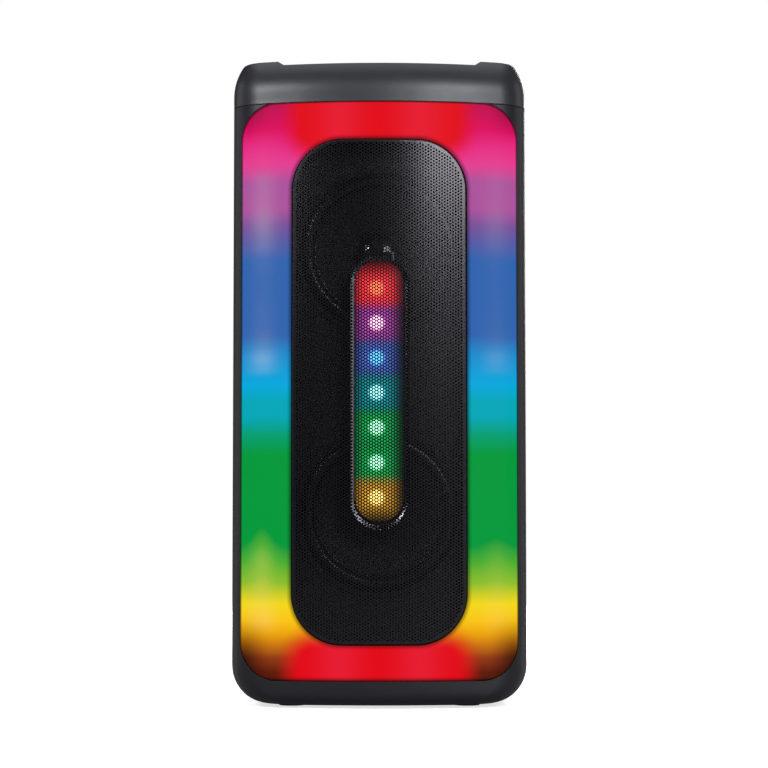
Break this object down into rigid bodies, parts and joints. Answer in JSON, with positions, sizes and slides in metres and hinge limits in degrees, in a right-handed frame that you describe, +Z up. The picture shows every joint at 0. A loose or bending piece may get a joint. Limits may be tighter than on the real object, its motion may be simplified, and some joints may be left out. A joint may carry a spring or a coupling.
{
  "type": "party speaker",
  "caption": "Upright portable party speaker with a bowed front, a lit ring panel round a perforated grille, woofers behind a light bar, top controls and a carry handle.",
  "frame": {"origin": "on the floor, under the middle of the bounding box, with the feet standing at z = 0", "axes": "+Z up, the bowed front faces -Y, +X to the right seen from the front"},
  "size_m": [0.2828, 0.272, 0.6194],
  "materials": {
    "housing": "fine spark texture, near black",
    "frame": "satin, dark grey",
    "cap": "satin, dark slate grey",
    "cup": "fine texture",
    "grip": "soft satin",
    "foot_rubber": "matte",
    "diffuser": "frosted white, lit from behind in a rainbow of colours",
    "grille_steel": "perforated, satin black powder coat",
    "white_plastic": "white reflector",
    "ring_board": "white solder mask",
    "led": "surface-mount light packages",
    "baffle_board": "black moulded board",
    "bar_bezel": "polished black",
    "bar_lens": "smoked diffuser, lit from behind",
    "bar_board": "black solder mask",
    "bar_led": "surface-mount light packages",
    "control_plate": "polished black",
    "display": "smoked window",
    "control_pcb": "green solder mask",
    "switch_metal": "plated",
    "encoder_metal": "plated",
    "knob": "satin with fluted side",
    "small_knob": "satin with fluted side",
    "port_plastic": "smooth moulded",
    "connector_plastic": "fine texture",
    "jack_plastic": "moulded black",
    "usb_metal": "plated shell",
    "inlet_plastic": "moulded black",
    "pin_brass": "nickel-washed",
    "rocker_plastic": "moulded black",
    "amp_pcb": "green solder mask",
    "heat_sink": "anodised, extruded fins",
    "power_pcb": "phenolic board",
    "battery": "shrink-wrapped cells",
    "battery_bracket": "zinc-grey sheet",
    "screw_steel": "black oxide",
    "basket_steel": "black pressed steel",
    "motor_steel": "zinc plated",
    "ferrite": "sintered ferrite",
    "gasket": "matte trim ring",
    "surround_rubber": "half-round roll",
    "spider_cloth": "corrugated treated cloth",
    "cone_paper": "pressed black pulp",
    "dust_cap": "polished dome",
    "coil_former": "copper winding on a former",
    "power_button": null,
    "mode_button": null,
    "light_button": null,
    "previous_button": null,
    "play_button": null,
    "next_button": null
  },
  "bodies": {
    "cabinet": {"rear_housing": "housing", "front_frame": "frame", "top_cap": "cap", "handle_cup": "cup", "carry_handle": "grip", "feet": "foot_rubber", "light_panel": "diffuser", "grille": "grille_steel", "reflector_tray": "white_plastic", "led_ring_board": "ring_board", "ring_leds": "led", "baffle": "baffle_board", "light_bar_housing": "bar_bezel", "light_bar_lens": "bar_lens", "light_bar_board": "bar_board", "bar_leds": "bar_led", "control_plate": "control_plate", "display_window": "display", "control_board": "control_pcb", "tact_switches": "switch_metal", "knob_encoders": "encoder_metal", "bass_port": "port_plastic", "connector_plate": "connector_plastic", "audio_jacks": "jack_plastic", "usb_socket": "usb_metal", "mains_inlet": "inlet_plastic", "inlet_pins": "pin_brass", "amp_board": "amp_pcb", "heat_sink": "heat_sink", "power_board": "power_pcb", "battery_pack": "battery", "battery_bracket": "battery_bracket", "screws": "screw_steel", "upper_woofer_basket": "basket_steel", "upper_woofer_motor_plates": "motor_steel", "upper_woofer_magnet": "ferrite", "upper_woofer_gasket": "gasket", "upper_woofer_surround": "surround_rubber", "upper_woofer_spider": "spider_cloth", "lower_woofer_basket": "basket_steel", "lower_woofer_motor_plates": "motor_steel", "lower_woofer_magnet": "ferrite", "lower_woofer_gasket": "gasket", "lower_woofer_surround": "surround_rubber", "lower_woofer_spider": "spider_cloth"},
    "upper_cone": {"upper_woofer_cone": "cone_paper", "upper_woofer_dust_cap": "dust_cap", "upper_woofer_voice_coil": "coil_former"},
    "lower_cone": {"lower_woofer_cone": "cone_paper", "lower_woofer_dust_cap": "dust_cap", "lower_woofer_voice_coil": "coil_former"},
    "volume_knob": {"volume_knob": "knob"},
    "microphone_knob": {"microphone_knob": "small_knob"},
    "power_rocker": {"power_rocker": "rocker_plastic"},
    "power_button": {"power_button": "power_button"},
    "mode_button": {"mode_button": "mode_button"},
    "light_button": {"light_button": "light_button"},
    "previous_button": {"previous_button": "previous_button"},
    "play_button": {"play_button": "play_button"},
    "next_button": {"next_button": "next_button"}
  },
  "joints": [
    {"name": "upper_cone_travel", "type": "slide", "parent": "cabinet", "child": "upper_cone", "axis": [0, -1, 0], "range_m": [-0.004, 0.004], "stiffness_N_per_m": 1500, "deforming": ["upper_woofer_surround", "upper_woofer_spider"]},
    {"name": "lower_cone_travel", "type": "slide", "parent": "cabinet", "child": "lower_cone", "axis": [0, -1, 0], "range_m": [-0.004, 0.004], "stiffness_N_per_m": 1500, "deforming": ["lower_woofer_surround", "lower_woofer_spider"]},
    {"name": "volume_turn", "type": "hinge", "parent": "cabinet", "child": "volume_knob", "pos_m": [0, -0.032, 0.6085], "axis": [0, 0, 1], "continuous": true},
    {"name": "microphone_turn", "type": "hinge", "parent": "cabinet", "child": "microphone_knob", "pos_m": [0.062, -0.036, 0.6085], "axis": [0, 0, 1], "range_deg": [-140, 140]},
    {"name": "power_press", "type": "slide", "parent": "cabinet", "child": "power_button", "axis": [0, 0, -1], "range_m": [0, 0.001], "stiffness_N_per_m": 300},
    {"name": "mode_press", "type": "slide", "parent": "cabinet", "child": "mode_button", "axis": [0, 0, -1], "range_m": [0, 0.001], "stiffness_N_per_m": 300},
    {"name": "light_press", "type": "slide", "parent": "cabinet", "child": "light_button", "axis": [0, 0, -1], "range_m": [0, 0.001], "stiffness_N_per_m": 300},
    {"name": "previous_press", "type": "slide", "parent": "cabinet", "child": "previous_button", "axis": [0, 0, -1], "range_m": [0, 0.001], "stiffness_N_per_m": 300},
    {"name": "play_press", "type": "slide", "parent": "cabinet", "child": "play_button", "axis": [0, 0, -1], "range_m": [0, 0.001], "stiffness_N_per_m": 300},
    {"name": "next_press", "type": "slide", "parent": "cabinet", "child": "next_button", "axis": [0, 0, -1], "range_m": [0, 0.001], "stiffness_N_per_m": 300},
    {"name": "power_rock", "type": "hinge", "parent": "cabinet", "child": "power_rocker", "pos_m": [-0.028, 0.1265, 0.128], "axis": [1, 0, 0], "range_deg": [0, 18]}
  ]
}
